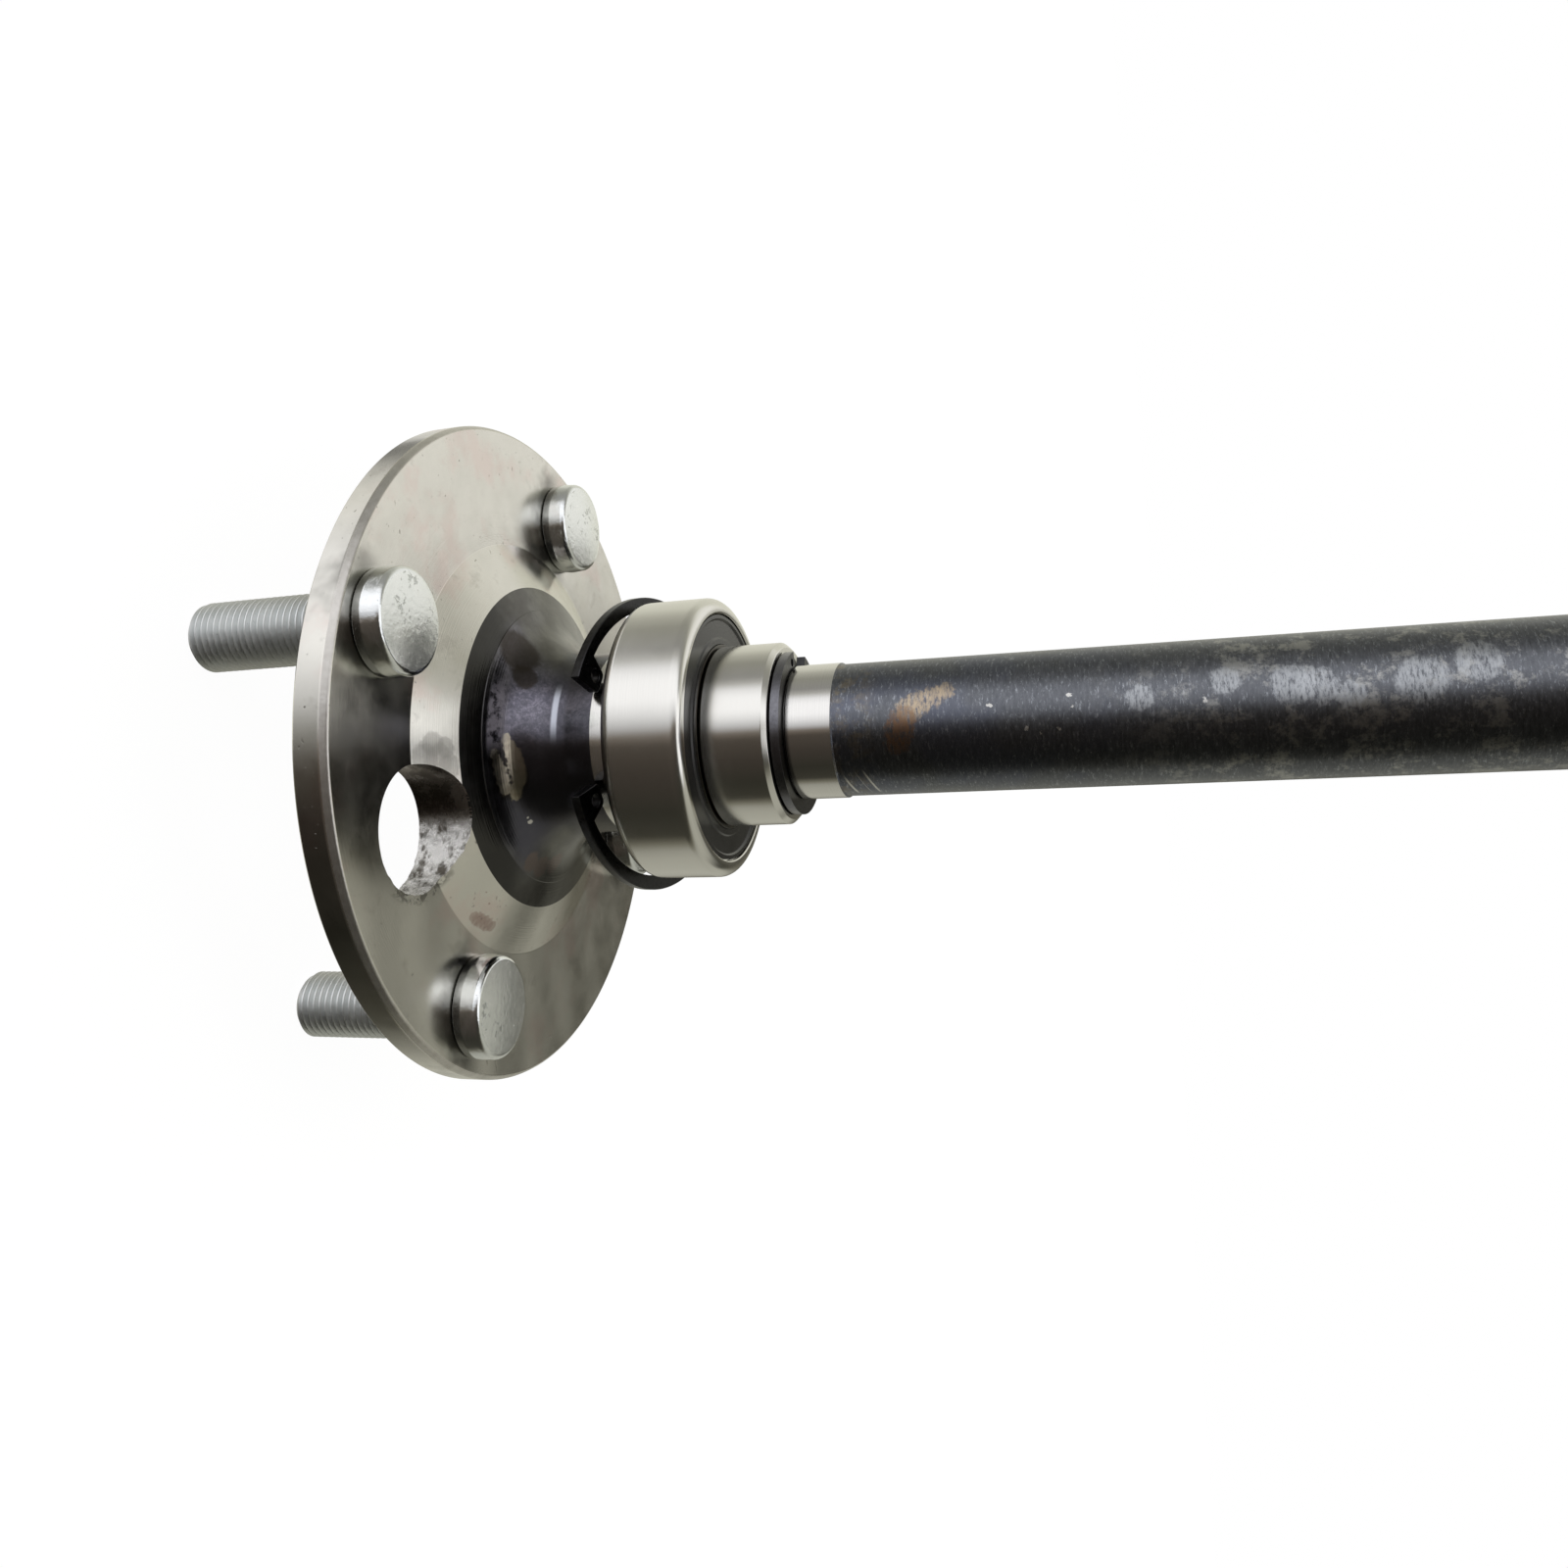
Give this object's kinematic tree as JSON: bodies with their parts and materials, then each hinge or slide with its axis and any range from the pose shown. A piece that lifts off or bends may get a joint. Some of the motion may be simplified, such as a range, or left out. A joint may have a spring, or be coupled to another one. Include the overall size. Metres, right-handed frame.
{
  "type": "axle shaft",
  "caption": "Flanged rear axle shaft with pressed wheel studs, sealed ball bearing, lock collar, snap rings and a splined inner end.",
  "frame": {"origin": "on the axle's axis, in the plane of the four stud tips that it stands on", "axes": "+Z along the axle's axis from the wheel studs to the splined inner end; the access hole in the flange lies towards -X"},
  "size_m": [0.1254, 0.1254, 0.38],
  "materials": {
    "axle_steel": "black oxide on the shaft and hub, turned bright on the flange, shoulder and seats",
    "bearing_steel": "ground and polished",
    "plated_steel": "bright zinc plate",
    "spring_steel": "black phosphated spring steel",
    "seal_rubber": "matt moulded rubber on a steel disc",
    "cage_polymer": "moulded",
    "ball_steel": "lapped"
  },
  "bodies": {
    "shaft": {"axle_shaft": "axle_steel", "wheel_stud_1": "plated_steel", "wheel_stud_2": "plated_steel", "wheel_stud_3": "plated_steel", "wheel_stud_4": "plated_steel", "bearing_inner_ring": "bearing_steel", "bearing_collar": "bearing_steel", "shaft_snap_ring": "spring_steel"},
    "outer_race": {"bearing_outer_ring": "bearing_steel", "bearing_seal_inboard": "seal_rubber", "bearing_seal_outboard": "seal_rubber", "housing_snap_ring": "spring_steel"},
    "cage": {"bearing_cage": "cage_polymer"},
    "ball_1": {"bearing_ball_1": "ball_steel"},
    "ball_2": {"bearing_ball_2": "ball_steel"},
    "ball_3": {"bearing_ball_3": "ball_steel"},
    "ball_4": {"bearing_ball_4": "ball_steel"},
    "ball_5": {"bearing_ball_5": "ball_steel"},
    "ball_6": {"bearing_ball_6": "ball_steel"},
    "ball_7": {"bearing_ball_7": "ball_steel"},
    "ball_8": {"bearing_ball_8": "ball_steel"},
    "ball_9": {"bearing_ball_9": "ball_steel"}
  },
  "joints": [
    {"name": "bearing_spin", "type": "hinge", "parent": "shaft", "child": "outer_race", "pos_m": [0, 0, 0.0703], "axis": [0, 0, 1], "continuous": true},
    {"name": "cage_orbit", "type": "hinge", "parent": "shaft", "child": "cage", "pos_m": [0, 0, 0.0703], "axis": [0, 0, 1], "continuous": true},
    {"name": "ball_1_spin", "type": "hinge", "parent": "cage", "child": "ball_1", "pos_m": [0.01952, 0, 0.0703], "axis": [0, 0, 1], "continuous": true},
    {"name": "ball_2_spin", "type": "hinge", "parent": "cage", "child": "ball_2", "pos_m": [0.01495, 0.01255, 0.0703], "axis": [0, 0, 1], "continuous": true},
    {"name": "ball_3_spin", "type": "hinge", "parent": "cage", "child": "ball_3", "pos_m": [0.00339, 0.01922, 0.0703], "axis": [0, 0, 1], "continuous": true},
    {"name": "ball_4_spin", "type": "hinge", "parent": "cage", "child": "ball_4", "pos_m": [-0.00976, 0.0169, 0.0703], "axis": [0, 0, 1], "continuous": true},
    {"name": "ball_5_spin", "type": "hinge", "parent": "cage", "child": "ball_5", "pos_m": [-0.01834, 0.00668, 0.0703], "axis": [0, 0, 1], "continuous": true},
    {"name": "ball_6_spin", "type": "hinge", "parent": "cage", "child": "ball_6", "pos_m": [-0.01834, -0.00668, 0.0703], "axis": [0, 0, 1], "continuous": true},
    {"name": "ball_7_spin", "type": "hinge", "parent": "cage", "child": "ball_7", "pos_m": [-0.00976, -0.0169, 0.0703], "axis": [0, 0, 1], "continuous": true},
    {"name": "ball_8_spin", "type": "hinge", "parent": "cage", "child": "ball_8", "pos_m": [0.00339, -0.01922, 0.0703], "axis": [0, 0, 1], "continuous": true},
    {"name": "ball_9_spin", "type": "hinge", "parent": "cage", "child": "ball_9", "pos_m": [0.01495, -0.01255, 0.0703], "axis": [0, 0, 1], "continuous": true}
  ],
  "couplings": [
    {"joint": "cage_orbit", "follows": "bearing_spin", "ratio": 0.60169},
    {"joint": "ball_1_spin", "follows": "bearing_spin", "ratio": 2.3567},
    {"joint": "ball_2_spin", "follows": "bearing_spin", "ratio": 2.3567},
    {"joint": "ball_3_spin", "follows": "bearing_spin", "ratio": 2.3567},
    {"joint": "ball_4_spin", "follows": "bearing_spin", "ratio": 2.3567},
    {"joint": "ball_5_spin", "follows": "bearing_spin", "ratio": 2.3567},
    {"joint": "ball_6_spin", "follows": "bearing_spin", "ratio": 2.3567},
    {"joint": "ball_7_spin", "follows": "bearing_spin", "ratio": 2.3567},
    {"joint": "ball_8_spin", "follows": "bearing_spin", "ratio": 2.3567},
    {"joint": "ball_9_spin", "follows": "bearing_spin", "ratio": 2.3567}
  ]
}
